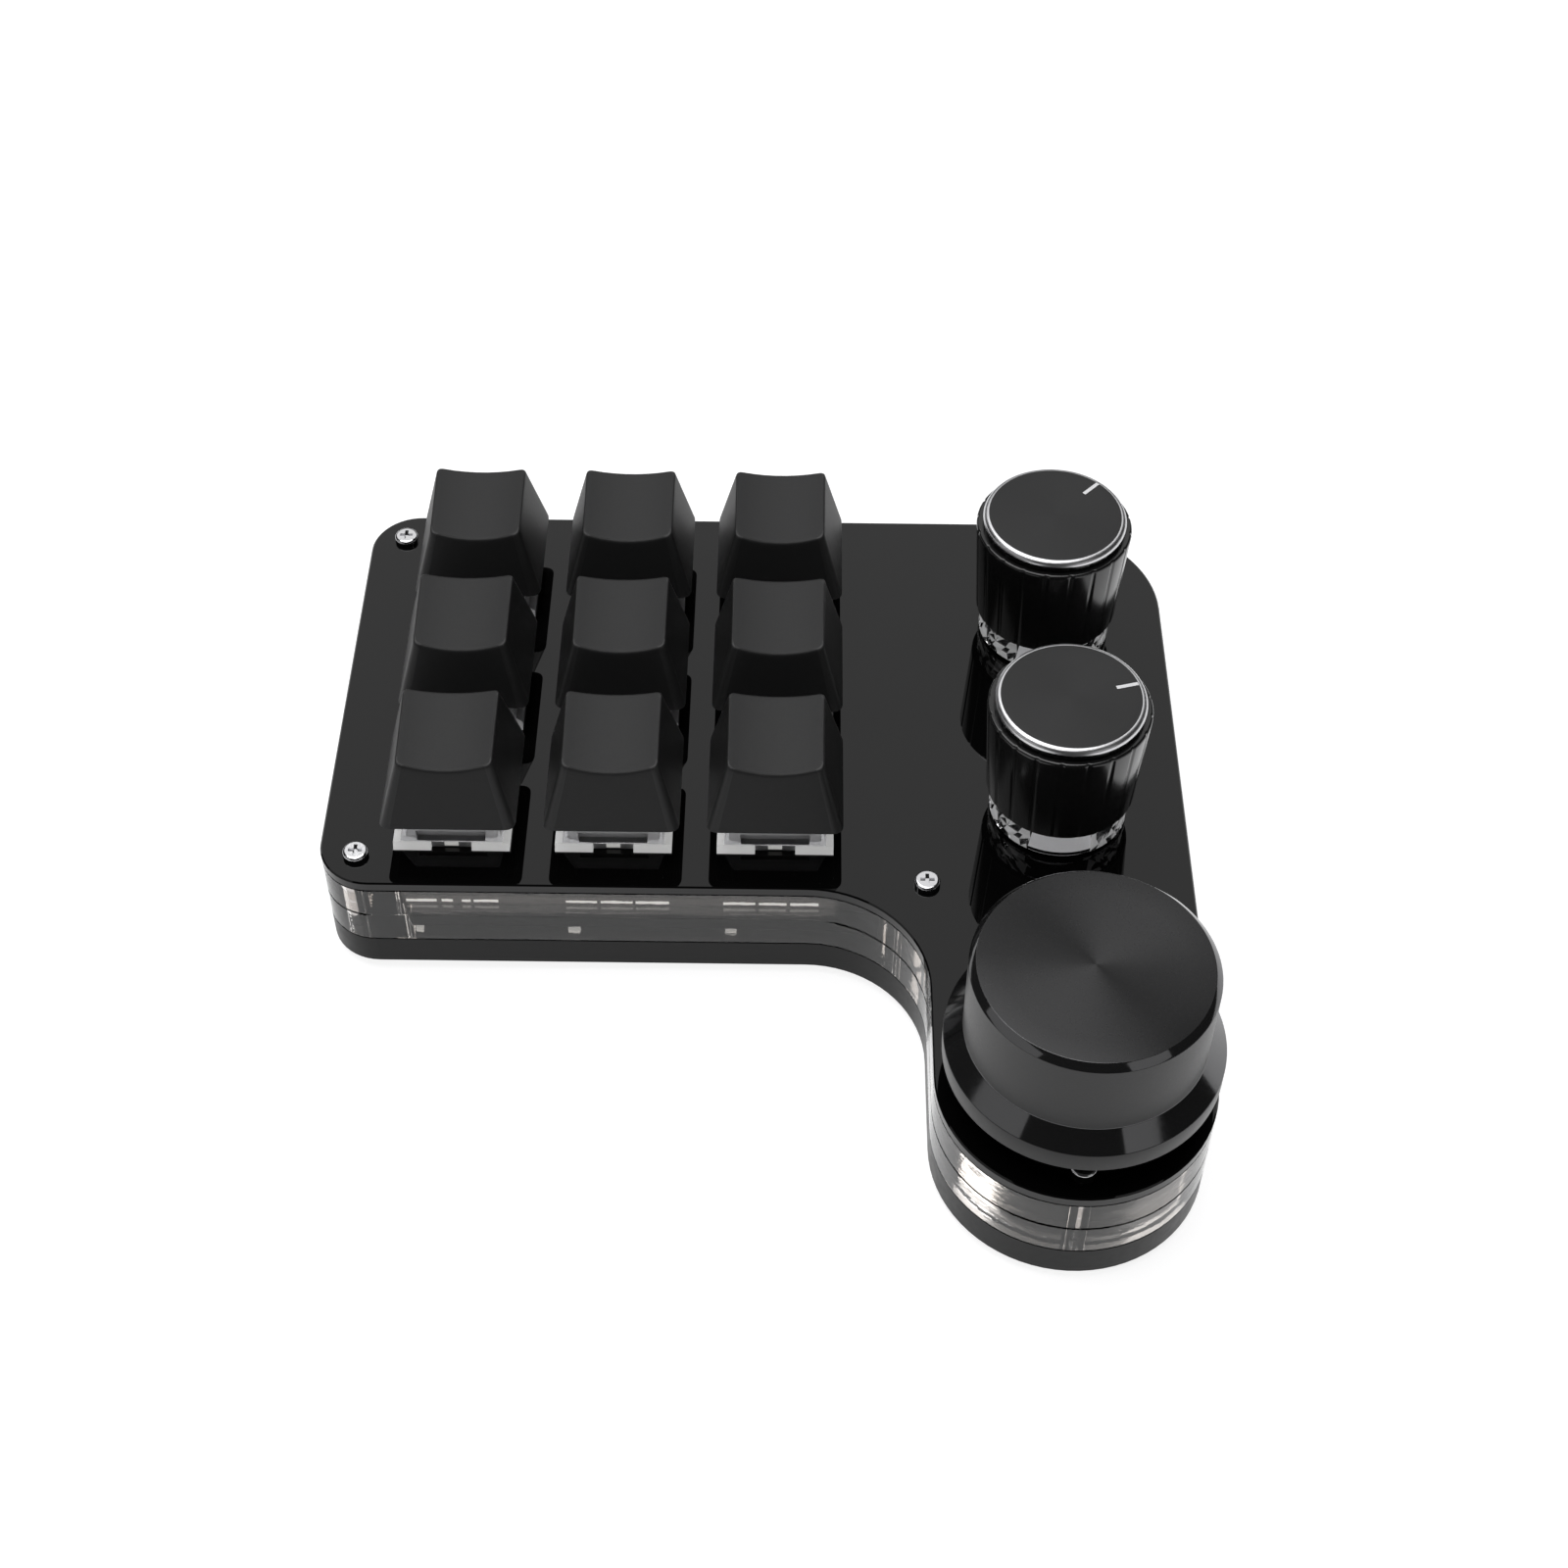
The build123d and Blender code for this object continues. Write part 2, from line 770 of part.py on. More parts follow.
def small_knob_collar(x, y):
    """The bright collar under the shell, with flat facets and a spigot inside the shell."""
    low = plate_top + push_travel + collar_plate_gap
    high = plate_top + small_knob_bottom
    inner = collar_radius - collar_wall
    collar = raised(RegularPolygon(collar_radius, collar_facets), low, high)
    collar = collar & turned([
        (0, low),
        (collar_radius - 2 * edge_break, low),
        (collar_radius, low + 2 * edge_break),
        (collar_radius, high),
        (0, high),
    ])
    collar += rod(small_knob_bore - core_clearance, high, high + collar_spigot)
    collar -= rod(inner, low - 1, high + collar_spigot + 1)
    return Pos(x, y, 0) * collar


def small_knob_core(x, y):
    """The moulded core that fills the shell and grips the shaft."""
    low = plate_top + core_bottom
    high = plate_top + small_knob_top - small_knob_roof
    core = rod(small_knob_bore - core_clearance, low, high)
    return Pos(x, y, 0) * (core - shaft_bore(small_shaft_top))


# Large knob

def rod_along_y(radius, y_low, y_high):
    """A cylinder that lies along Y at the set screw's height."""
    place = Pos(0, (y_low + y_high) / 2, plate_top + set_screw_height)
    return place * Rot(90, 0, 0) * Cylinder(radius, y_high - y_low)


def large_knob_body(x, y):
    """A turned knob: flat top, bright chamfer, plain wall, bevelled flange, recess below."""
    bottom = plate_top + large_knob_bottom
    top = plate_top + large_knob_top
    knob = turned([
        (0, bottom),
        (large_knob_flange_radius, bottom),
        (large_knob_flange_radius, plate_top + large_knob_flange_top),
        (large_knob_radius, plate_top + large_knob_wall_bottom),
        (large_knob_radius, top - large_knob_chamfer),
        (large_knob_top_radius, top),
        (0, top),
    ])
    knob -= rod(large_knob_recess_radius, plate_top, plate_top + large_knob_recess_top)
    knob -= shaft_bore(large_shaft_top)
    hole_radius = set_screw_radius + set_screw_clearance
    knob -= rod_along_y(hole_radius, set_screw_hole_start, large_knob_flange_radius)
    return Pos(x, y, 0) * knob


def large_knob_set_screw(x, y):
    """The headless screw that clamps the large knob to the flat of its shaft."""
    end = set_screw_tip + set_screw_length
    screw = rod_along_y(set_screw_radius, set_screw_tip, end)
    screw -= rod_along_y(set_screw_socket, end - set_screw_socket_depth, end + 1)
    return Pos(x, y, 0) * screw


# Every piece in its own file

write("top_plate", top_plate())
write("upper_spacer", upper_spacer())
write("lower_spacer", lower_spacer())
write("base_plate", base_plate())
write("case_screws", case_screws())
write("case_nuts", case_nuts())
write("rubber_feet", rubber_feet())
write("circuit_board", circuit_board())
write("hot_swap_sockets", hot_swap_sockets())
write("board_lights", board_lights())
write("controller_chip", controller_chip())
write("usb_port", usb_port())
write("switch_lower_housings", switch_lower_housings())
write("switch_upper_housings", switch_upper_housings())
write("switch_pins", switch_pins())
write("encoder_housings", encoder_housings())
write("encoder_bushings", encoder_bushings())

cap = keycap()
stem = switch_stem()
spring = switch_spring()
for name, (x, y) in keys.items():
    write(f"keycap_{name}", Pos(x, y, 0) * cap)
    write(f"switch_stem_{name}", Pos(x, y, 0) * stem)
    write(f"switch_spring_{name}", Pos(x, y, 0) * spring)

shaft_tops = {"back_knob": small_shaft_top, "middle_knob": small_shaft_top, "large_knob": large_shaft_top}
for name, (x, y) in knobs.items():
    write(f"{name}_rotor", encoder_rotor(x, y))
    write(f"{name}_shaft", encoder_shaft(x, y, shaft_tops[name]))

for name, angle in (("back_knob", back_pointer_angle), ("middle_knob", middle_pointer_angle)):
    x, y = knobs[name]
    write(f"{name}_shell", small_knob_shell(x, y, angle))
    write(f"{name}_collar", small_knob_collar(x, y))
    write(f"{name}_core", small_knob_core(x, y))

write("large_knob_body", large_knob_body(*knobs["large_knob"]))
write("large_knob_set_screw", large_knob_set_screw(*knobs["large_knob"]))
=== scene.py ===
from math import atan2, cos, pi, radians, sin, sqrt

import bpy
from mathutils import Matrix, Vector


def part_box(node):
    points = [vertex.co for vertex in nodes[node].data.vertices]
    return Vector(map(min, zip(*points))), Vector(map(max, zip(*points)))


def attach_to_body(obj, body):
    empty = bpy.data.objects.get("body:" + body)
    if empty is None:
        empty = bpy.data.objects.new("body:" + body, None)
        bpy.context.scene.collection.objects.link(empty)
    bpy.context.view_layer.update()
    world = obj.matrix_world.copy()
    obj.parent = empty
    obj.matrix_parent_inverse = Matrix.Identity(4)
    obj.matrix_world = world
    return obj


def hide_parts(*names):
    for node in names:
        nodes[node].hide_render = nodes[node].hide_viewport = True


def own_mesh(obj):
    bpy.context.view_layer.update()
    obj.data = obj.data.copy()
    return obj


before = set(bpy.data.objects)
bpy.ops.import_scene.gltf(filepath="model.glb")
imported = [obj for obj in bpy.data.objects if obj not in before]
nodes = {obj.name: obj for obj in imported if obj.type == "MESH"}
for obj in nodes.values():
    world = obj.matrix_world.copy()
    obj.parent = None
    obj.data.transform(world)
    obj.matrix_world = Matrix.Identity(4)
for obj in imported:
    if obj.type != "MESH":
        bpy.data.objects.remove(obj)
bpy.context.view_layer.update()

MM = 0.001
NEAR = 1e-3     # millimetres within which a point counts as being at a level

# Sizes in millimetres, as in the part's source
PLATE = 18.1    # the plate's top face
KEY_X = {"left": -40.6, "centre": -18.95, "right": 2.7}
KEY_Y = {"back": 45.8, "middle": 23.7, "front": 1.6}
KEYS = {f"{row}_{column}": (KEY_X[column], KEY_Y[row]) for row in KEY_Y for column in KEY_X}
# Each small knob's axis, and the angle that its pointer is turned to
SMALL_KNOBS = {"back_knob": ((40.95, 37.5), 46.0), "middle_knob": ((40.95, 2.8), 15.0)}
LARGE_KNOB = (40.95, -41.2)


# Node helpers

NOISE_LOW, NOISE_HIGH = 0.25, 0.75      # noise hardly leaves this range


def material(name):
    """A new node material and its main shader."""
    mat = bpy.data.materials.new(name)
    mat.use_nodes = True
    return mat, mat.node_tree.nodes["Principled BSDF"]


def put(shader, **values):
    """Sets plain values on a shader's sockets; an underscore in a name stands for a space."""
    for key, value in values.items():
        shader.inputs[key.replace("_", " ")].default_value = value


def add(mat, kind, **values):
    """Adds a node with some of its settings."""
    node = mat.node_tree.nodes.new(kind)
    for key, value in values.items():
        setattr(node, key, value)
    return node


def link(mat, out, into):
    mat.node_tree.links.new(out, into)


def place(mat, scale=(1, 1, 1)):
    """Object coordinates, stretched along the axes."""
    coords = add(mat, "ShaderNodeTexCoord")
    mapping = add(mat, "ShaderNodeMapping")
    mapping.inputs["Scale"].default_value = scale
    link(mat, coords.outputs["Object"], mapping.inputs["Vector"])
    return mapping.outputs["Vector"]


def noise(mat, where, scale, detail=3.0):
    """A grain; the scale is in grains for each metre."""
    node = add(mat, "ShaderNodeTexNoise")
    node.inputs["Scale"].default_value = scale
    node.inputs["Detail"].default_value = detail
    node.inputs["Roughness"].default_value = 0.55
    link(mat, where, node.inputs["Vector"])
    return node.outputs["Fac"]


def spread(mat, value, low, high):
    """Maps a noise value to a range."""
    node = add(mat, "ShaderNodeMapRange")
    node.inputs["From Min"].default_value = NOISE_LOW
    node.inputs["From Max"].default_value = NOISE_HIGH
    node.inputs["To Min"].default_value = low
    node.inputs["To Max"].default_value = high
    link(mat, value, node.inputs["Value"])
    return node.outputs["Result"]


def tint(mat, value, dark, light):
    """A colour between two colours."""
    node = add(mat, "ShaderNodeMix", data_type="RGBA")
    node.inputs["A"].default_value = (*dark, 1)
    node.inputs["B"].default_value = (*light, 1)
    link(mat, value, node.inputs["Factor"])
    return node.outputs["Result"]


def bump(mat, shader, value, distance):
    """Raises the surface by a value; the distance is in metres."""
    node = add(mat, "ShaderNodeBump")
    node.inputs["Strength"].default_value = 0.6
    node.inputs["Distance"].default_value = distance
    link(mat, value, node.inputs["Height"])
    link(mat, node.outputs["Normal"], shader.inputs["Normal"])


def surface(name, dark, light, rough, grain=1500.0, relief=0.0, stretch=(1, 1, 1), **values):
    """A material whose colour and roughness vary with a fine grain."""
    mat, shader = material(name)
    where = place(mat, stretch)
    fine = noise(mat, where, grain)
    broad = noise(mat, where, scale=90.0, detail=4.0)
    link(mat, tint(mat, broad, dark, light), shader.inputs["Base Color"])
    link(mat, spread(mat, fine, *rough), shader.inputs["Roughness"])
    if relief:
        bump(mat, shader, fine, relief)
    put(shader, **values)
    return mat


def grey(value):
    """A grey with a hint of blue."""
    return (value, value, value * 1.02)


def metal(name, dark, light, rough, grain=2500.0):
    """A bare metal between two greys."""
    return surface(name, grey(dark), grey(light), rough, grain, Metallic=1.0)


def glow(strength, blue=1.0):
    """Shader values that make a surface give off a little light of its own; on the pieces, which
    are no lamps, this is painted light.
    """
    return {"Emission_Color": (1, 1, blue, 1), "Emission_Strength": strength}


# Materials

HAIR, TOOTH, PITTED = 0.00001, 0.00002, 0.00004     # reliefs in metres
ACRYLIC = 1.49                                      # index of refraction

plate_black = surface("plate_black", grey(0.0014), grey(0.002), (0.006, 0.018), 60.0, IOR=1.4)
base_black = surface("base_black", grey(0.007), grey(0.010), (0.3, 0.4), 900.0, HAIR,
                     Specular_IOR_Level=0.15)
keycap_grey = surface("keycap_grey", grey(0.0125), grey(0.0145), (0.46, 0.54), 5200.0, TOOTH,
                      Specular_IOR_Level=0.29)
# The dished top is about twice as light as the sides, though the cap is one plastic: painted light.
keycap_top_painted_light = surface("keycap_top_painted_light", grey(0.0245), grey(0.0265), (0.58, 0.66), 5200.0, TOOTH,
                     Specular_IOR_Level=0.33)
# The rounded corners: glossier and a little lighter, partly wear and partly a painted highlight.
keycap_edge_wear_and_highlight = surface("keycap_edge_wear_and_highlight", grey(0.014), grey(0.018), (0.38, 0.48), 5200.0, TOOTH,
                      Specular_IOR_Level=0.36)
screw_bright = metal("screw_bright", 0.6, 0.7, (0.05, 0.12))
nut_steel = metal("nut_steel", 0.4, 0.5, (0.25, 0.4))
foot_rubber = surface("foot_rubber", grey(0.02), grey(0.03), (0.7, 0.85), 3000.0, PITTED)
board_black = surface("board_black", grey(0.006), grey(0.01), (0.36, 0.46), 1200.0)
socket_black = surface("socket_black", grey(0.02), grey(0.03), (0.45, 0.6), 2500.0)
chip_black = surface("chip_black", grey(0.015), grey(0.02), (0.4, 0.5), 3500.0)
# White for the board's lights and the switches' lenses; it glows a little of itself, painted light,
# as neither is a lamp here.
light_white = surface("light_white", (0.85, 0.85, 0.8), (0.95, 0.95, 0.9), (0.2, 0.3), 900.0,
                      Subsurface_Weight=0.1, **glow(0.3, blue=0.97))
port_steel = metal("port_steel", 0.5, 0.6, (0.22, 0.32))
pin_brass = surface("pin_brass", (0.7, 0.48, 0.18), (0.8, 0.58, 0.25), (0.2, 0.3), 2500.0,
                    Metallic=1.0)
stem_black = surface("stem_black", grey(0.03), grey(0.04), (0.35, 0.45), 2500.0)
spring_steel = metal("spring_steel", 0.5, 0.6, (0.18, 0.3))
encoder_steel = metal("encoder_steel", 0.35, 0.45, (0.3, 0.4), 1800.0)
bushing_metal = metal("bushing_metal", 0.42, 0.5, (0.25, 0.35), 1800.0)
rotor_plastic = surface("rotor_plastic", grey(0.06), grey(0.09), (0.4, 0.5), 2000.0)
shaft_metal = metal("shaft_metal", 0.45, 0.55, (0.22, 0.32), 2200.0)
core_plastic = surface("core_plastic", grey(0.04), grey(0.06), (0.45, 0.55), 2000.0)
set_screw_steel = metal("set_screw_steel", 0.08, 0.1, (0.3, 0.4))
mark_white = surface("mark_white", grey(0.82), grey(0.9), (0.4, 0.5), 2500.0)
# White for the board's bars, with a glow of its own: painted light.
bar_white_glow = surface("bar_white_glow", grey(0.86), grey(0.94), (0.3, 0.4), 2500.0,
                    **glow(0.55, blue=0.98))
# Milky housing plastic with a faint glow of its own: painted light.
switch_milky = surface("switch_milky", grey(0.9), grey(0.94), (0.25, 0.35), 1600.0, HAIR,
                       **glow(0.08))
# A lighter copy of the milky plastic with a stronger glow, for the front row's lips: painted light.
switch_lip_painted_light = surface("switch_lip_painted_light", grey(0.93), grey(0.97), (0.25, 0.35), 1600.0, HAIR,
                     **glow(0.32, blue=0.98))
switch_clear = surface("switch_clear", grey(0.74), grey(0.84), (0.12, 0.2), 1600.0,
                       Transmission_Weight=0.4, IOR=1.5)
# Grey painted shade for the notches, the light slots and the side lips of the back and middle rows.
switch_painted_shade = surface("switch_painted_shade", grey(0.28), grey(0.42), (0.4, 0.5), 1600.0)
clear_sheet = surface("clear_sheet", (0.855, 0.825, 0.8), (0.88, 0.855, 0.83), (0.0, 0.012),
                      240.0, 0.00005, (1, 1, 4), Transmission_Weight=1.0, IOR=ACRYLIC)
collar_clear = surface("collar_clear", grey(0.9), grey(0.95), (0.02, 0.06), 300.0,
                       Transmission_Weight=1.0, IOR=ACRYLIC)
# Pale, faintly glowing facets scattered round the ring: painted glints.
collar_painted_glint = surface("collar_painted_glint", grey(0.86), grey(0.94), (0.08, 0.16), 500.0,
                      Transmission_Weight=0.15, IOR=ACRYLIC, **glow(0.14))
# Pale, glowing cone seen through the ring's clear front: painted light.
sleeve_painted_light = surface("sleeve_painted_light", grey(0.6), grey(0.9), (0.25, 0.4), 420.0, PITTED,
                      **glow(0.28))
grip_black = surface("grip_black", grey(0.0075), grey(0.009), (0.15, 0.19), 400.0)
neck_black = surface("neck_black", grey(0.002), grey(0.004), (0.14, 0.2), 1800.0)
rim_bright = metal("rim_bright", 0.6, 0.68, (0.28, 0.34), 1800.0)
cap_satin = surface("cap_satin", grey(0.022), grey(0.026), (0.36, 0.44), 2600.0, HAIR,
                    Specular_IOR_Level=0.26, Anisotropic=0.3, Anisotropic_Rotation=0.25)
dial_top = surface("dial_top", grey(0.03), grey(0.036), (0.26, 0.32), 2600.0,
                   Metallic=0.9, Anisotropic=0.88, Anisotropic_Rotation=0.25)
dial_edge = surface("dial_edge", grey(0.12), grey(0.14), (0.05, 0.09), 1800.0, Metallic=0.95)
dial_wall = surface("dial_wall", grey(0.010), grey(0.014), (0.34, 0.42), 3800.0, TOOTH,
                    Metallic=0.25)
dial_rim = surface("dial_rim", grey(0.004), grey(0.006), (0.3, 0.38), 3800.0, HAIR,
                   Specular_IOR_Level=0.25)

# Spun tops: the turning marks run round the knob's axis
for mat in (cap_satin, dial_top):
    tangent = add(mat, "ShaderNodeTangent", direction_type="RADIAL", axis="Z")
    link(mat, tangent.outputs["Tangent"],
         mat.node_tree.nodes["Principled BSDF"].inputs["Tangent"])


# Mesh helpers

def new_mesh(name, points, faces, mats, which=None):
    """A mesh from points in millimetres; which has each face's place in the list of materials."""
    mesh = bpy.data.meshes.new(name)
    mesh.from_pydata([(x * MM, y * MM, z * MM) for x, y, z in points], [], faces)
    for mat in mats:
        mesh.materials.append(mat)
    if which:
        mesh.polygons.foreach_set("material_index", which)
    return mesh


def shade(mesh, angle):
    """Smooth faces, with sharp edges past an angle in degrees."""
    mesh.shade_smooth()
    mesh.set_sharp_from_angle(angle=radians(angle))


def new_object(name, data):
    """A new object in the scene."""
    obj = bpy.data.objects.new(name, data)
    bpy.context.scene.collection.objects.link(obj)
    return obj


def attach(name, mesh, body, at=(0, 0)):
    """A new object that rides on a body; at is its axis, in millimetres."""
    obj = new_object(name, mesh)
    obj.location = (at[0] * MM, at[1] * MM, 0)
    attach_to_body(obj, body)
    return obj


def piece(name, verts, faces, mats, body, which=None, angle=30.0, at=(0, 0)):
    """A new piece made from points in millimetres."""
    mesh = new_mesh(name, verts, faces, mats, which)
    mesh.validate()
    shade(mesh, angle)
    return attach(name, mesh, body, at)


def from_cad(name, node, mats, body, move=None, paint=None, angle=None):
    """A new piece with a CAD node's shape, whose points can be moved a little.

    A paint function picks a face's material from its middle. An angle gives the piece new normals.
    """
    mesh = nodes[node].data.copy()
    mesh.name = name
    mesh.materials.clear()
    for mat in mats:
        mesh.materials.append(mat)
    if paint:
        mesh.polygons.foreach_set("material_index", [paint(p.center) for p in mesh.polygons])
    if move:
        for v in mesh.vertices:
            v.co = move(v.co)
    if angle is not None:
        if "custom_normal" in mesh.attributes:
            mesh.attributes.remove(mesh.attributes["custom_normal"])
        shade(mesh, angle)
    obj = attach(name, mesh, body)
    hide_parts(node)
    return obj


def cut(obj, cutter):
    """Takes one object's shape out of another's mesh."""
    modifier = obj.modifiers.new("cut", "BOOLEAN")
    modifier.operation = "DIFFERENCE"
    modifier.solver = "EXACT"
    modifier.object = cutter
    bpy.context.view_layer.update()
    solved = obj.evaluated_get(bpy.context.evaluated_depsgraph_get())
    mesh = bpy.data.meshes.new_from_object(solved)
    obj.modifiers.clear()
    obj.data = mesh
    bpy.data.objects.remove(cutter)


# The faces of a box whose corners go round the bottom, then round the top
BOX_FACES = [(3, 2, 1, 0), (4, 5, 6, 7), (0, 1, 5, 4), (1, 2, 6, 5), (2, 3, 7, 6), (3, 0, 4, 7)]


def box_points(x_range, y_range, z_range):
    """The corners of a box, round the bottom and then round the top."""
    (left, right), (front, back) = x_range, y_range
    return [(x, y, z) for z in z_range
            for x, y in ((left, front), (right, front), (right, back), (left, back))]


def turned(radius, angle, z):
    """A point at a distance and an angle from the Z axis."""
    return radius * cos(angle), radius * sin(angle), z


def curve(a, corner, b, t):
    """A point on the curve from a to b that bends round a corner."""
    return a * (1 - t) ** 2 + corner * 2 * t * (1 - t) + b * t ** 2


def between(a, b):
    """The faces between two rings that have as many points."""
    n = len(a)
    return [(a[k], a[(k + 1) % n], b[(k + 1) % n], b[k]) for k in range(n)]


def rounded(points, steps=3):
    """A profile with its corners rounded; each point is (r, z, material, corner radius)."""
    result = []
    for i, (r, z, m, radius) in enumerate(points):
        if radius == 0:
            result.append((r, z, m))
            continue
        here = Vector((r, z))
        before = Vector(points[i - 1][:2]) - here
        after = Vector(points[i + 1][:2]) - here
        reach = min(radius, before.length * 0.45, after.length * 0.45)
        a = here + before.normalized() * reach
        b = here + after.normalized() * reach
        for k in range(steps + 1):
            p = curve(a, here, b, k / steps)
            result.append((p.x, p.y, m if k >= steps / 2 else points[i - 1][2]))
    return result


def lathe(profile, segments, shape=None):
    """Points, faces and materials of a profile turned about Z. A shape bends the radius."""
    verts, faces, which, rings = [], [], [], []
    for r, z, _ in profile:
        if r == 0:
            rings.append([len(verts)])
            verts.append((0, 0, z))
            continue
        rings.append(list(range(len(verts), len(verts) + segments)))
        for k in range(segments):
            a = 2 * pi * k / segments
            verts.append(turned(shape(a, r, z) if shape else r, a, z))
    for low, high, (_, _, m) in zip(rings, rings[1:], profile):
        if len(low) == 1:
            strip = [(low[0], high[(k + 1) % segments], high[k]) for k in range(segments)]
        elif len(high) == 1:
            strip = [(low[k], low[(k + 1) % segments], high[0]) for k in range(segments)]
        else:
            strip = between(low, high)
        faces += strip
        which += [m] * segments
    return verts, faces, which


# CAD nodes that keep their shape

plain = {
    "top_plate": plate_black, "base_plate": base_black, "case_screws": screw_bright,
    "case_nuts": nut_steel, "rubber_feet": foot_rubber, "circuit_board": board_black,
    "hot_swap_sockets": socket_black, "board_lights": light_white, "controller_chip": chip_black,
    "usb_port": port_steel, "switch_pins": pin_brass, "encoder_housings": encoder_steel,
    "encoder_bushings": bushing_metal, "large_knob_set_screw": set_screw_steel,
}
for name in KEYS:
    plain[f"switch_stem_{name}"] = stem_black
for name in (*SMALL_KNOBS, "large_knob"):
    plain[f"{name}_rotor"] = rotor_plastic
    plain[f"{name}_shaft"] = shaft_metal
for name in SMALL_KNOBS:
    plain[f"{name}_core"] = core_plastic
for node, mat in plain.items():
    obj = nodes[node]
    for s in obj.material_slots:
        s.material = mat
    if not obj.material_slots:
        obj.data.materials.append(mat)


# Clear spacers: a hair of air to the black plates, and polished faces that touch. The seam
# between them is seen all round but along the straight front wall, where it is too fine.

AIR, TOUCH = 0.012, 0.004               # the gap to a plate, and how far a face passes the seam
BROKEN_EDGE, SEEN_EDGE = 0.2, 0.02      # the edges' chamfer in the CAD, and as it is seen
FRONT_WALL_X, FRONT_WALL_Y = (-51.5, 14.0), (-12.5, -7.8)


def clear_spacer(name, below, above):
    """A spacer in clear sheet, whose lower and upper faces move in by below and above."""
    low, high = (corner.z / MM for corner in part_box(name))
    seam = low if below < 0 else high
    levels = ((low, low + below), (low + BROKEN_EDGE, low + below + SEEN_EDGE),
              (high - BROKEN_EDGE, high - above - SEEN_EDGE), (high, high - above))

    def shrink(co):
        z = co.z / MM
        front_wall = (FRONT_WALL_X[0] < co.x / MM < FRONT_WALL_X[1]
                      and FRONT_WALL_Y[0] < co.y / MM < FRONT_WALL_Y[1])
        at_seam = abs(abs(z - seam) - BROKEN_EDGE) < NEAR
        if front_wall or not at_seam:
            z = next((new for old, new in levels if abs(z - old) < NEAR), z)
        return Vector((co.x, co.y, z * MM))

    from_cad(f"{name}_clear", name, [clear_sheet], "case", shrink)


clear_spacer("upper_spacer", -TOUCH, AIR)
clear_spacer("lower_spacer", AIR, -TOUCH)


# Switch housings: lips that slope in, a narrower clear top whose light slot is painted with shade,
# a notch painted with shade

FLANGE_TOP, HOUSING_TOP = PLATE + 1.0, PLATE + 6.6
FLANGE_HALF, LIP_HALF = 7.8, 7.2        # half depths at the flange's edge and its top
TAPER_X, TAPER_Y = 0.11, 0.08           # how much narrower the clear top's foot is
WALL_BACK, WALL_RISE = 2.5, 5.6         # the clear top's front wall leans back by this
SLOT_HALF = 4.8                         # half the light slot's width in that wall
SLOT_LOW, SLOT_HIGH = PLATE + 2.0, PLATE + 3.4
SLOT_POINTS_Y, SLOT_FACES_Y = -6.0, -5.4        # its points and faces lie in front of these
SLOT_FRONT_Y = -6.35                    # and those on the wall's outside in front of this
SLOT_DROP, SLOT_WIDER = 0.85, 1.06      # how the slot is seen, lower and wider
POINT_SLACK, FACE_SLACK = 0.01, 0.05
NOTCH_HALF, NOTCH_FACE = 2.7, 7.1       # the notch in the front and back lips
LIP_IN = 6.3                            # the front row's lip, painted lighter and glowing, lies outside this
SIDE_IN, SIDE_FRONT = 6.6, -5.6         # the other rows' side lips, painted with shade, lie past these
WHITE, PAINTED_SHADE, LIP = range(3)             # places in the lists of materials: plain white, painted shade, the front row's lip in painted light


def from_switch(co):
    """The middle of a point's switch, and the point's place from there, in millimetres."""
    x = min(KEY_X.values(), key=lambda k: abs(co.x / MM - k))
    y = min(KEY_Y.values(), key=lambda k: abs(co.y / MM - k))
    return (x, y), (co.x / MM - x, co.y / MM - y, co.z / MM)


def slope_lips(co):
    (_, y), (_, v, z) = from_switch(co)
    if abs(z - FLANGE_TOP) < NEAR and abs(abs(v) - FLANGE_HALF) < NEAR:
        return Vector((co.x, (y + v * LIP_HALF / FLANGE_HALF) * MM, co.z))
    return co


def narrow_foot(co):
    """Tapers the clear top towards its foot, and moves the light slot down its leaning wall."""
    (x, y), (u, v, z) = from_switch(co)
    if (abs(u) < SLOT_HALF + POINT_SLACK and v < SLOT_POINTS_Y
            and min(abs(z - SLOT_LOW), abs(z - SLOT_HIGH)) < NEAR):
        u, z = u * SLOT_WIDER, z - SLOT_DROP
        if v < SLOT_FRONT_Y:
            v -= SLOT_DROP * WALL_BACK / WALL_RISE
    share = (HOUSING_TOP - z) / (HOUSING_TOP - FLANGE_TOP)
    return Vector(((x + u * (1 - TAPER_X * share)) * MM,
                   (y + v * (1 - TAPER_Y * share)) * MM, z * MM))


def paint_shade_and_lit_lips(co):
    """Painted shade on the notches, and on the side lips outside the front row, where the keys
    shade them; painted light on the front row's lips.
    """
    (_, y), (u, v, z) = from_switch(co)
    front_row = y == KEY_Y["front"]
    notch = abs(u) < NOTCH_HALF and abs(abs(v) - NOTCH_FACE) < FACE_SLACK
    side = abs(u) > SIDE_IN and v > SIDE_FRONT
    if z > PLATE and (notch or (side and not front_row)):
        return PAINTED_SHADE
    return LIP if z > PLATE + 0.1 and max(abs(u), abs(v)) > LIP_IN and front_row else WHITE


# Painted shade on the faces of each light slot.
def paint_slot_shade(co):
    _, (u, v, z) = from_switch(co)
    in_slot = (abs(u) < SLOT_HALF + FACE_SLACK and v < SLOT_FACES_Y
               and SLOT_LOW - FACE_SLACK < z < SLOT_HIGH + FACE_SLACK)
    return PAINTED_SHADE if in_slot else WHITE


from_cad("switch_lower_milky", "switch_lower_housings", [switch_milky, switch_painted_shade, switch_lip_painted_light],
         "case", slope_lips, paint_shade_and_lit_lips, 30.0)
from_cad("switch_upper_clear", "switch_upper_housings", [switch_clear, switch_painted_shade],
         "case", narrow_foot, paint_slot_shade, 30.0)
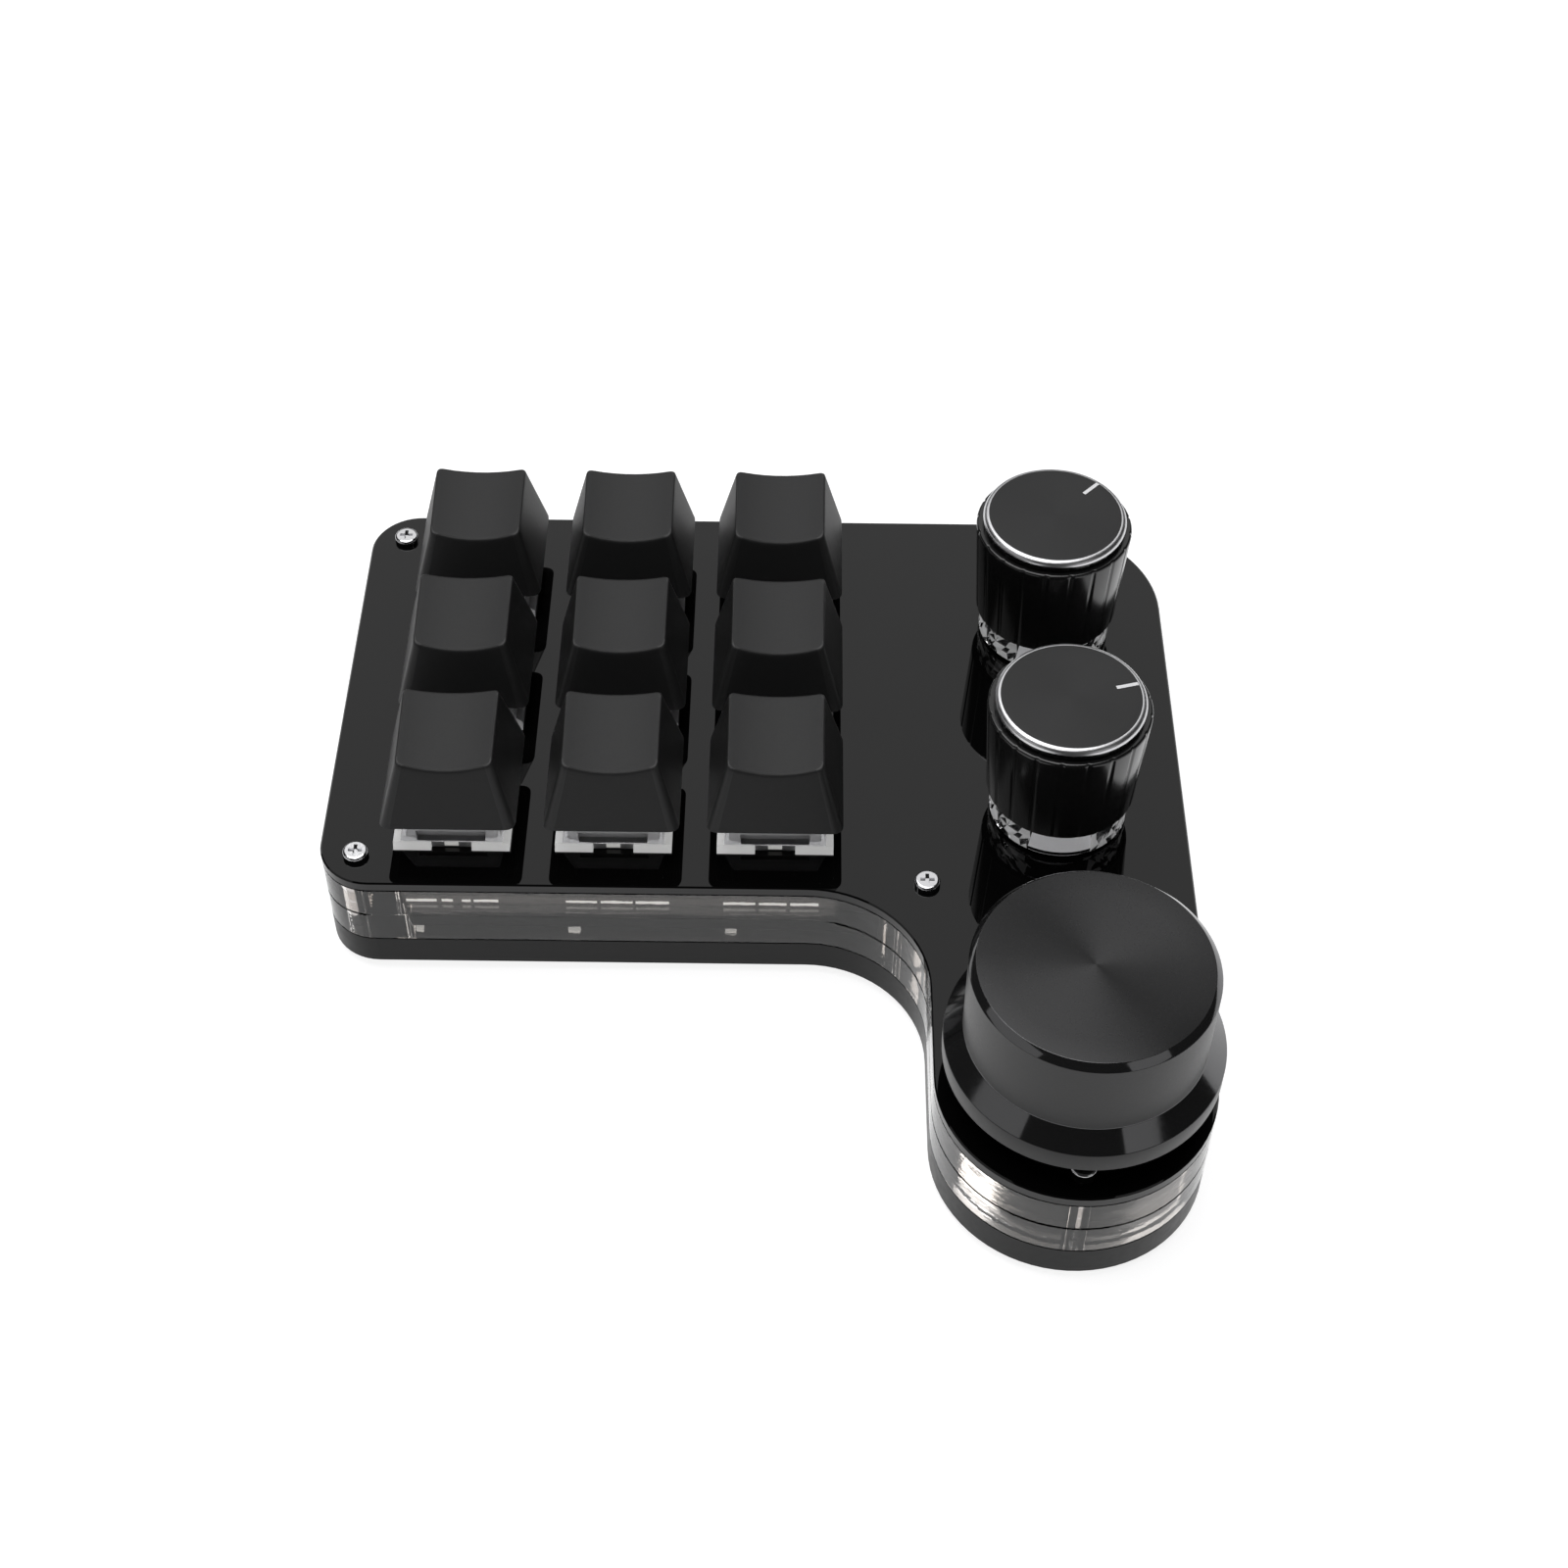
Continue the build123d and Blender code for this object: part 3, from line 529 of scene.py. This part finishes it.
# A small white patch low in each notch, in the white that glows of itself: painted light.
lens_verts = box_points((-0.93, 0.93), (-7.16, -NOTCH_FACE), (PLATE + 0.3, PLATE + 0.98))
for name, axis in KEYS.items():
    piece(f"switch_lens_{name}", lens_verts, BOX_FACES, [light_white], "case",
          at=axis)


# White bars on the board's front edge, seen through the clear wall; they glow of themselves, as
# painted light

BOARD_FRONT, BAR_DEPTH = -7.9, 0.06
BAR_HEIGHT = (11.95, 12.4)
BARS = [(-46.9, -42.8), (-42.1, -40.6), (-39.4, -38.2), (-37.8, -34.5),
        (-25.4, -21.2), (-20.7, -16.4), (-16.0, -11.5),
        (-4.2, 0.1), (0.6, 4.3), (4.8, 8.85)]
for number, width in enumerate(BARS, 1):
    corners = box_points(width, (BOARD_FRONT - BAR_DEPTH, BOARD_FRONT), BAR_HEIGHT)
    piece(f"board_bar_{number}", corners, BOX_FACES, [bar_white_glow], "case")


# Keycaps

CAP_LOW = PLATE + 5.6
CAP_BASE, CAP_LOFT = 18.1, 11.0                 # the square foot, and how high the sides go
CAP_TOP_BACK, CAP_TOP_FRONT = 12.5, 11.5        # the top's widths
CAP_BACK_Y, CAP_FRONT_Y = 6.84, -4.71           # the top's back and front edges
CORNER_LOW, CORNER_HIGH = 1.5, 0.9              # the corners' reach at the foot and the top
PER_SIDE, PER_CORNER = 7, 6                     # steps along a side and round a corner
DISH_HEIGHT, DISH_RADIUS, DISH_TILT = 8.78, 21.0, radians(6.0)      # height above CAP_LOW
DISH_Y = 1.0                                    # the dish's middle
SOFT_RIM, SOFT_FOOT = 0.36, 0.12                # reach of the rounding at the rim and the foot
CAP_WALL, CAP_HOLLOW = 1.1, 6.8
POST_RADIUS, POST_LOW, CROSS_HIGH = 2.75, 1.3, 4.7
CROSS_HALF, CROSS_ARM = 0.65, 2.05
SIDE, DISH, EDGE = range(3)                     # places in the list of materials; the dish and the corners get lighter painted colours


def mix(a, b, share):
    return a + (b - a) * share


def cap_corners(height, inset):
    """The four corners of the keycap's outline at a height, anticlockwise from the back right."""
    share = height / CAP_LOFT
    back = mix(CAP_BASE, CAP_TOP_BACK, share) / 2 - inset
    front = mix(CAP_BASE, CAP_TOP_FRONT, share) / 2 - inset
    back_y = mix(CAP_BASE / 2, CAP_BACK_Y, share) - inset
    front_y = mix(-CAP_BASE / 2, CAP_FRONT_Y, share) + inset
    return (back, back_y), (-back, back_y), (-front, front_y), (front, front_y)


def cap_ring(height, radius, inset=0.0):
    """Points round the keycap at a height, with rounded corners."""
    corners = [Vector(corner) for corner in cap_corners(height, inset)]
    ring = []
    for i, here in enumerate(corners):
        following = corners[(i + 1) % 4]
        before = (corners[i - 1] - here).normalized()
        after = (following - here).normalized()
        a, b = here + before * radius, here + after * radius
        for k in range(PER_CORNER + 1):
            ring.append(curve(a, here, b, k / PER_CORNER))
        side_end = following - after * radius
        for k in range(1, PER_SIDE):
            ring.append(b.lerp(side_end, k / PER_SIDE))
    return ring


def cap_radius(height):
    return CORNER_LOW + (CORNER_HIGH - CORNER_LOW) * height / CAP_LOFT


def dish_height(x, y):
    """Height of the dished top above the keycap's lower edge."""
    sag = -sqrt(DISH_RADIUS ** 2 - x * x) + sin(DISH_TILT) * y
    return DISH_HEIGHT + DISH_RADIUS + sag / cos(DISH_TILT)


def dish_point(x, y, share):
    """A point on the dish, with its way from the dish's middle cut to a share."""
    x, y = x * share, DISH_Y + (y - DISH_Y) * share
    return x, y, CAP_LOW + dish_height(x, y)


def keycap_mesh():
    """The outside with a rounded rim, the hollow, and the post with its cross."""
    verts, faces = [], []

    def add_ring(points):
        verts.extend(points)
        return list(range(len(verts) - len(points), len(verts)))

    def flat_ring(height, radius, inset, z):
        return add_ring([(p.x, p.y, CAP_LOW + z) for p in cap_ring(height, radius, inset)])

    # The height at which each line up the side meets the dish
    count = len(cap_ring(0, cap_radius(0)))
    rim = []
    for k in range(count):
        h = 9.0
        for _ in range(12):
            p = cap_ring(h, cap_radius(h))[k]
            h = dish_height(p.x, p.y)
        rim.append(h)

    def wall(share, drop=0.0):
        points = []
        for k in range(count):
            h = (rim[k] - drop) * share
            p = cap_ring(h, cap_radius(h))[k]
            points.append((p.x, p.y, CAP_LOW + h))
        return points

    # The sides, then the rounded rim
    bottom = flat_ring(SOFT_FOOT, cap_radius(0), 0.0, SOFT_FOOT)
    outside = [wall(share, SOFT_RIM) for share in (0.2, 0.4, 0.6, 0.8, 0.93)]
    top_wall, rim_points = wall(1.0, SOFT_RIM), wall(1.0)
    inner = [dish_point(x, y, 1 - SOFT_RIM / sqrt(x * x + (y - DISH_Y) ** 2))
             for x, y, _ in rim_points]
    for k in range(6):
        outside.append([tuple(curve(*way, k / 5) for way in zip(*points))
                        for points in zip(top_wall, rim_points, inner)])
    previous = bottom
    for points in outside:
        ring = add_ring(points)
        faces += between(previous, ring)
        previous = ring
    dish_start = len(faces)

    # The dish
    for share in (0.9, 0.78, 0.62, 0.45, 0.28, 0.12):
        ring = add_ring([dish_point(x, y, share) for x, y, _ in inner])
        faces += between(previous, ring)
        previous = ring
    verts.append(dish_point(0, DISH_Y, 1))
    faces += [(previous[k], previous[(k + 1) % count], len(verts) - 1) for k in range(count)]
    dish_end = len(faces)

    # The lower edge and the hollow
    edge = flat_ring(0, cap_radius(0), SOFT_FOOT, 0)
    mouth = flat_ring(0, 0.6, CAP_WALL, 0)
    ceiling = flat_ring(CAP_HOLLOW, 0.5, CAP_WALL, CAP_HOLLOW)
    faces += between(edge, bottom) + between(mouth, edge) + between(ceiling, mouth)
    verts.append((0, DISH_Y, CAP_LOW + CAP_HOLLOW))
    faces += [(ceiling[(k + 1) % count], ceiling[k], len(verts) - 1) for k in range(count)]

    # The post, round outside, with the cross that grips the stem
    half, arm = CROSS_HALF, CROSS_ARM
    cross = [(arm, half), (half, half), (half, arm), (-half, arm), (-half, half), (-arm, half)]
    cross += [(-x, -y) for x, y in cross]
    angles = [atan2(y, x) for x, y in cross]
    post_top = add_ring([turned(POST_RADIUS, a, CAP_LOW + CAP_HOLLOW) for a in angles])
    post_foot = add_ring([turned(POST_RADIUS, a, CAP_LOW + POST_LOW) for a in angles])
    cross_foot = add_ring([(x, y, CAP_LOW + POST_LOW) for x, y in cross])
    cross_top = add_ring([(x, y, CAP_LOW + CROSS_HIGH) for x, y in cross])
    faces += (between(post_foot, post_top) + between(cross_foot, post_foot)
              + between(cross_top, cross_foot))
    faces.append(tuple(reversed(cross_top)))

    # Faces round the corners take the lighter edge colour, part painted highlight; the dish takes
    # the top's painted light.
    which = [EDGE if i % count % (count // 4) < PER_CORNER else SIDE for i in range(dish_start)]
    which += [DISH] * (dish_end - dish_start) + [SIDE] * (len(faces) - dish_end)
    return verts, faces, which


cap_verts, cap_faces, cap_which = keycap_mesh()
cap_mesh = None     # the nine keycaps share the first one's mesh
for name, axis in KEYS.items():
    if cap_mesh is None:
        obj = piece(f"cap_{name}", cap_verts, cap_faces, [keycap_grey, keycap_top_painted_light, keycap_edge_wear_and_highlight],
                    f"key_{name}", cap_which, 45.0, axis)
        cap_mesh = obj.data
    else:
        obj = attach(f"cap_{name}", cap_mesh, f"key_{name}", axis)
    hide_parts(f"keycap_{name}")


# Switch springs

SPRING_LOW, SPRING_HIGH = 13.9, PLATE + 5.0
COIL_RADIUS, WIRE, TURNS = 1.825, 0.17, 9
CLOSED_END = 0.12       # the share of the coil that lies close at each end
PER_TURN, ROUND_WIRE = 20, 8


def coil_height(t):
    """Height of the wire's middle, for a share of the coil from its foot."""
    if t < CLOSED_END:
        return SPRING_LOW + WIRE + (t / CLOSED_END) * 2 * WIRE
    if t > 1 - CLOSED_END:
        return SPRING_HIGH - WIRE - ((1 - t) / CLOSED_END) * 2 * WIRE
    middle = (t - CLOSED_END) / (1 - 2 * CLOSED_END)
    return SPRING_LOW + 3 * WIRE + middle * (SPRING_HIGH - SPRING_LOW - 6 * WIRE)


def coil_mesh():
    """A coil spring with closed ends, as one tube."""
    verts, faces, rings = [], [], []
    steps = TURNS * PER_TURN
    for i in range(steps + 1):
        t = i / steps
        rings.append(range(len(verts), len(verts) + ROUND_WIRE))
        for k in range(ROUND_WIRE):
            b = 2 * pi * k / ROUND_WIRE
            verts.append(turned(COIL_RADIUS + WIRE * cos(b), 2 * pi * TURNS * t,
                                coil_height(t) + WIRE * sin(b)))
    for a, b in zip(rings, rings[1:]):
        faces += between(a, b)
    faces += [tuple(reversed(rings[0])), tuple(rings[-1])]
    return verts, faces


coil_verts, coil_faces = coil_mesh()
for name, (x, y) in KEYS.items():
    obj = piece(f"coil_{name}", coil_verts, coil_faces, [spring_steel], "case",
                None, 60.0, (x, y))
    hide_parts(f"switch_spring_{name}")
    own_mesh(obj)


# Small knobs

FLUTES = 20
GRIP_LOW, GRIP_HIGH, GRIP_INSIDE = PLATE + 4.9, PLATE + 20.3, 9.9
GROOVE_HALF, GROOVE_DEPTH = 0.3, 0.14
CAP_FACE = PLATE + 21.93                        # the top's face
POINTER_X, POINTER_HALF = (6.15, 9.12), 0.27
POINTER_Z = (PLATE + 21.9, PLATE + 21.945)

COLLAR_LOW, COLLAR_HIGH, COLLAR_INSIDE = PLATE + 0.8, PLATE + 5.0, 8.9
COLLAR_RADII = [9.3, 9.3, 9.2, 9.15, 9.1]       # from the foot up
COLLAR_COLUMNS = 60
SMOOTH_PART, SMOOTH_END = 0.42, 0.12            # angle each side of the front, and its soft end
FACET_SLIDE, FACET_DEPTH = 0.9, 0.35
CLEAR_PART, SLEEVE_PART = 0.45, 0.5             # angles each side of the front: where the ring stays clear, and where the sleeve is painted light


def fluted(a, r, z):
    """The radius of the grip at an angle: soft panels between narrow grooves."""
    if z > GRIP_HIGH or z < GRIP_LOW or r < GRIP_INSIDE:
        return r
    step = 2 * pi / FLUTES
    off = abs((a / step) % 1.0 - 0.5) * step * r
    return r - GROOVE_DEPTH * max(0.0, 1 - (off / GROOVE_HALF) ** 2)


def scatter(phase, size):
    """An uneven value from 0 to 1 that is the same each run."""
    return sin(phase) * size % 1.0


def from_front(a):
    """How far an angle is from the front."""
    return abs((a + pi / 2 + pi) % (2 * pi) - pi)


def collar_mesh():
    """A clear ring whose outside is cut into small uneven facets, smooth over one stretch; about
    half the facets off that stretch, picked at random, are painted pale and glowing as glints.
    """
    columns, rows = COLLAR_COLUMNS, len(COLLAR_RADII)
    verts, faces, which = [], [], []
    for j, r in enumerate(COLLAR_RADII):
        for k in range(columns):
            a = 2 * pi * k / columns
            uneven = 0.0
            if 0 < j < rows - 1:
                uneven = min(1.0, max(0.0, (from_front(a) - SMOOTH_PART) / SMOOTH_END))
            jitter = scatter(12.9898 * k + 78.233 * j, 43758.5453) - 0.5
            slide = scatter(39.346 * k + 11.135 * j, 24634.6345) - 0.5
            verts.append(turned(r + FACET_DEPTH * jitter * uneven,
                                a + slide * uneven * FACET_SLIDE * 2 * pi / columns,
                                COLLAR_LOW + (COLLAR_HIGH - COLLAR_LOW) * j / (rows - 1)))
    inside = len(verts)
    for z in (COLLAR_LOW, COLLAR_HIGH):
        verts += [turned(COLLAR_INSIDE, 2 * pi * k / columns, z) for k in range(columns)]
    top = (rows - 1) * columns
    for k in range(columns):
        n = (k + 1) % columns
        smooth = from_front(2 * pi * (k + 0.5) / columns) < CLEAR_PART
        for j in range(rows - 1):
            p, q = j * columns + k, j * columns + n
            faces += [(p, q, q + columns), (p, q + columns, p + columns)]
            # Off the smooth stretch, facets picked at random take the painted glint.
            for half in (0, 1):
                pick = scatter(17.77 * k + 91.7 * j + 53.3 * half, 9631.77)
                which.append(1 if smooth or pick > 0.5 else 0)
        faces += [(inside + k, inside + n, n, k),
                  (top + k, top + n, inside + columns + n, inside + columns + k),
                  (inside + columns + k, inside + columns + n, inside + n, inside + k)]
        which += [1, 1, 1]
    return verts, faces, which


def sleeve_mesh():
    """The cone inside the clear ring, painted pale and glowing where the ring is smooth, as painted
    light; black elsewhere.
    """
    verts, faces, which = lathe([
        (6.0, PLATE + 0.95, 0), (8.75, PLATE + 0.95, 0), (8.8, PLATE + 1.1, 1),
        (7.9, PLATE + 2.3, 1), (7.0, PLATE + 3.5, 1), (6.1, PLATE + 4.7, 0), (6.0, PLATE + 0.95, 0),
    ], 120)
    for i, face in enumerate(faces):
        x, y = (sum(verts[k][axis] for k in face) for axis in (0, 1))
        if abs(atan2(x, -y)) > SLEEVE_PART:
            which[i] = 0
    return verts, faces, which


def arc(r, z, radius, m, steps):
    """Points of a quarter round about a centre, from its outside to its top."""
    points = []
    for k in range(steps + 1):
        x, y, _ = turned(radius, radians(90 * k / steps), 0)
        points.append((r + x, z + y, m))
    return points


SATIN, BRIGHT, NECK, GRIP = range(4)            # places in the list of materials
shell_profile = rounded([
    (9.2, PLATE + 20.03, GRIP, 0), (9.2, PLATE + 5.0, GRIP, 0.1),
    (9.95, PLATE + 5.0, GRIP, 0.9), (10.8, PLATE + 19.75, GRIP, 0),
])
shell_profile += arc(10.42, PLATE + 19.87, 0.38, GRIP, 6)
shell_profile += [(9.95, PLATE + 20.25, NECK), (9.95, PLATE + 21.0, NECK)]
shell_profile += arc(9.2, PLATE + 21.18, 0.75, BRIGHT, 8)[:-1]
shell_profile += [(r, CAP_FACE, SATIN) for r in (9.2, 8.0, 4.0, 0)]

for knob, (axis, angle) in SMALL_KNOBS.items():
    press = f"{knob}_press"
    verts, faces, which = lathe(shell_profile, 360, fluted)
    obj = piece(f"{knob}_turned_shell", verts, faces,
                [cap_satin, rim_bright, neck_black, grip_black], press,
                which, 38.0, axis)
    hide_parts(f"{knob}_shell")
    c, s = cos(radians(angle)), sin(radians(angle))
    corners = [(u * c - v * s, u * s + v * c, z)
               for u, v, z in box_points(POINTER_X, (-POINTER_HALF, POINTER_HALF), POINTER_Z)]
    piece(f"{knob}_pointer", corners, BOX_FACES, [mark_white], press, at=axis)
    verts, faces, which = collar_mesh()
    obj = piece(f"{knob}_cut_collar", verts, faces, [collar_painted_glint, collar_clear], press,
                which, 1.0, axis)
    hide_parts(f"{knob}_collar")
    verts, faces, which = sleeve_mesh()
    obj = piece(f"{knob}_sleeve", verts, faces, [neck_black, sleeve_painted_light], press,
                which, 20.0, axis)
    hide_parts(f"{knob}_collar")


# Large knob, with the set screw's hole from the shaft out to the back of its wall

DIAL_FACE, DIAL_ANGLE = PLATE + 22.35, 24.0
DIAL_MATS = [dial_top, dial_edge, dial_wall, dial_rim]
FACE, BEVEL, WALL, FLANGE = range(4)            # places in that list
HOLE_RADIUS, HOLE_Z, HOLE_REACH = 1.6, 31.7, (1.5, 17.3)
HOLE_SIDES = 48

dial_profile = rounded([
    (0, PLATE + 16.45, WALL, 0), (3.05, PLATE + 16.45, WALL, 0), (3.05, PLATE + 7.6, WALL, 0.1),
    (12.5, PLATE + 7.6, WALL, 0.1), (12.5, PLATE + 4.8, WALL, 0.1),
    (17.3, PLATE + 4.8, FLANGE, 0.15), (17.3, PLATE + 7.8, BEVEL, 0.08),
    (15.0, PLATE + 10.15, WALL, 0.08), (15.0, PLATE + 21.45, BEVEL, 0.05),
    (14.17, DIAL_FACE, FACE, 0.05), *((r, DIAL_FACE, FACE, 0) for r in (11.0, 6.0, 2.0, 0)),
])
verts, faces, which = lathe(dial_profile, 256)
dial = piece("large_knob_dial", verts, faces, DIAL_MATS,
             "large_knob_press", which, DIAL_ANGLE, LARGE_KNOB)
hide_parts("large_knob_body")

ends = []
for y in HOLE_REACH:
    for k in range(HOLE_SIDES):
        x, z, _ = turned(HOLE_RADIUS, 2 * pi * k / HOLE_SIDES, 0)
        ends.append((x, y, HOLE_Z + z))
inner, outer = range(HOLE_SIDES), range(HOLE_SIDES, 2 * HOLE_SIDES)
hole_faces = [tuple(inner), tuple(reversed(outer))] + [
    (k, outer[k], outer[(k + 1) % HOLE_SIDES], (k + 1) % HOLE_SIDES) for k in inner]
cutter = new_object("hole", new_mesh("hole", ends, hole_faces, DIAL_MATS,
                                     [WALL] * len(hole_faces)))
cutter.location = dial.location
cut(dial, cutter)
shade(dial.data, DIAL_ANGLE)


# Camera, as found from the photograph

PHOTO_FOCAL, PHOTO_SIDE = 2551.98, 1600         # pixels
SENSOR = 36.0
CAMERA_PLACE = (0.004929, -0.221141, 0.274579)
camera_data = bpy.data.cameras.new("camera")
camera_data.sensor_width = SENSOR
camera_data.lens = PHOTO_FOCAL * SENSOR / PHOTO_SIDE
camera_data.clip_start = 0.01
camera_data.clip_end = 20.0
camera = new_object("camera", camera_data)
yaw, pitch, roll = radians(-0.2953), radians(48.4198), radians(0.4587)
ahead = Vector((sin(yaw) * cos(pitch), cos(yaw) * cos(pitch), -sin(pitch)))
level = Vector((cos(yaw), -sin(yaw), 0))
upward = level.cross(ahead)
right = level * cos(roll) + upward * sin(roll)
up = upward * cos(roll) - level * sin(roll)
turn = Matrix((right, up, -ahead)).transposed().to_4x4()
camera.matrix_world = Matrix.Translation(CAMERA_PLACE) @ turn
bpy.context.scene.camera = camera


# Floor

FLOOR_HALF, FLOOR_Z = 12000.0, -0.01
floor_mat, floor_shader = material("floor_white")
where = place(floor_mat)
link(floor_mat, tint(floor_mat, noise(floor_mat, where, 3.0), grey(0.34), grey(0.36)),
     floor_shader.inputs["Base Color"])
put(floor_shader, Roughness=0.9, **glow(0.88))
reach = (-FLOOR_HALF, FLOOR_HALF)
floor = new_object("floor", new_mesh("floor", box_points(reach, reach, (FLOOR_Z,)),
                                     [(0, 1, 2, 3)], [floor_mat]))


# Studio light: soft rectangular lights, in metres and watts, and a faint light all round

AROUND = 0.028
for name, where, target, size, power in (
    ("top_light", (-0.15, 0.1, 1.0), (0, 0, 0), (0.9, 0.9), 8.2),
    ("back_light", (0.0, 0.9, 0.95), (0, 0, 0), (1.5, 0.75), 3.5),
    ("left_strip", (-0.817, -0.357, 0.44), (0, 0, 0.02), (0.9, 0.33), 0.44),
    ("right_strip", (0.613, -0.657, 0.438), (0, 0, 0.02), (0.48, 0.3), 0.23),
):
    lamp = bpy.data.lights.new(name, "AREA")
    lamp.shape = "RECTANGLE"
    lamp.size, lamp.size_y = size
    lamp.energy = power
    light = new_object(name, lamp)
    light.location = where
    aim = (Vector(target) - Vector(where)).to_track_quat("-Z", "Y")
    light.rotation_euler = aim.to_euler()

world = bpy.data.worlds.new("studio")
world.use_nodes = True
background = world.node_tree.nodes["Background"]
background.inputs["Color"].default_value = (1.0, 1.0, 1.0, 1)
background.inputs["Strength"].default_value = AROUND
bpy.context.scene.world = world
bpy.context.scene.view_settings.view_transform = "Standard"
